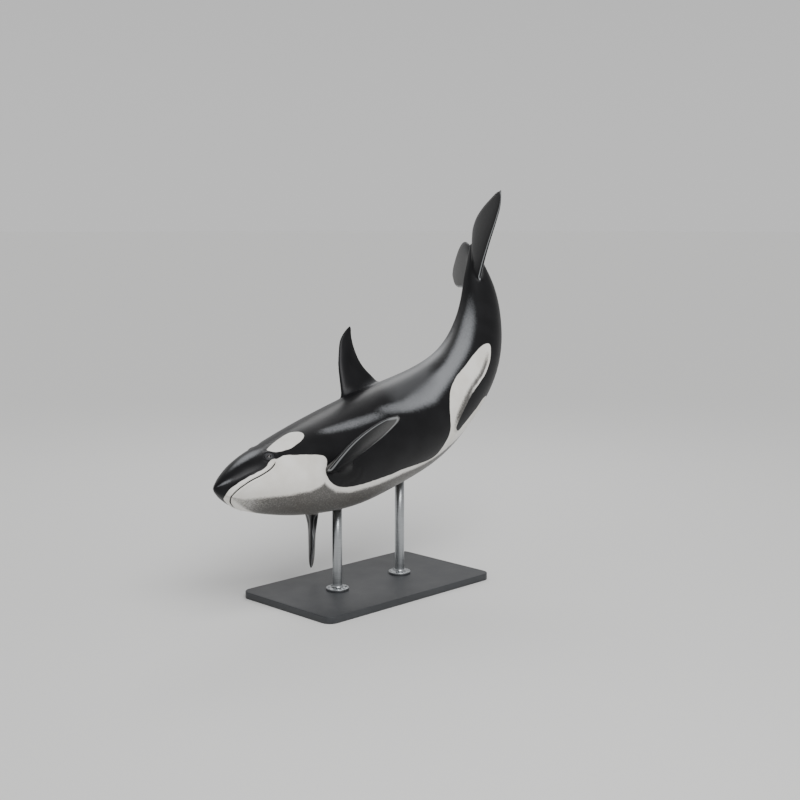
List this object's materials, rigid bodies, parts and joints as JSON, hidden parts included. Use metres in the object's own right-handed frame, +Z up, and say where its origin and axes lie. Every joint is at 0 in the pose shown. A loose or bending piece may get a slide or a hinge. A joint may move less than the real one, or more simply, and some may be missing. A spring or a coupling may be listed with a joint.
{
  "type": "orca model on a display stand",
  "caption": "Still life-size adult female orca, banked and curling its tail upwards as in a turn under water, held by upright steel rods above a flat rectangular display base.",
  "frame": {"origin": "middle of the display base's underside, on the floor", "axes": "+Z up, the snout points to -X and the tail to +X, the animal's left side faces -Y"},
  "size_m": [5.2795, 2.7166, 4.6567],
  "materials": {
    "black_skin": "smooth wet-looking skin, satin",
    "white_skin": "smooth wet-looking skin, satin",
    "grey_skin": "smooth wet-looking skin, satin",
    "eye": "wet, dark brown",
    "stand_paint": "matt dark grey paint",
    "stand_steel": "brushed"
  },
  "bodies": {
    "root": {"head": "black_skin", "shoulders": "black_skin", "back": "black_skin", "loin": "black_skin", "tail_stock_front": "black_skin", "tail_stock_rear": "black_skin", "fluke_left": "black_skin", "fluke_right": "black_skin", "dorsal_fin": "black_skin", "pectoral_left": "black_skin", "pectoral_right": "black_skin", "lower_jaw": "white_skin", "throat": "white_skin", "breast": "white_skin", "belly": "white_skin", "vent": "white_skin", "eye_patch_left": "white_skin", "eye_patch_right": "white_skin", "flank_patch_left": "white_skin", "flank_patch_right": "white_skin", "saddle_patch": "grey_skin", "eye_left": "eye", "eye_right": "eye", "stand_base": "stand_paint", "stand_rod_front": "stand_steel", "stand_rod_rear": "stand_steel"}
  },
  "joints": []
}
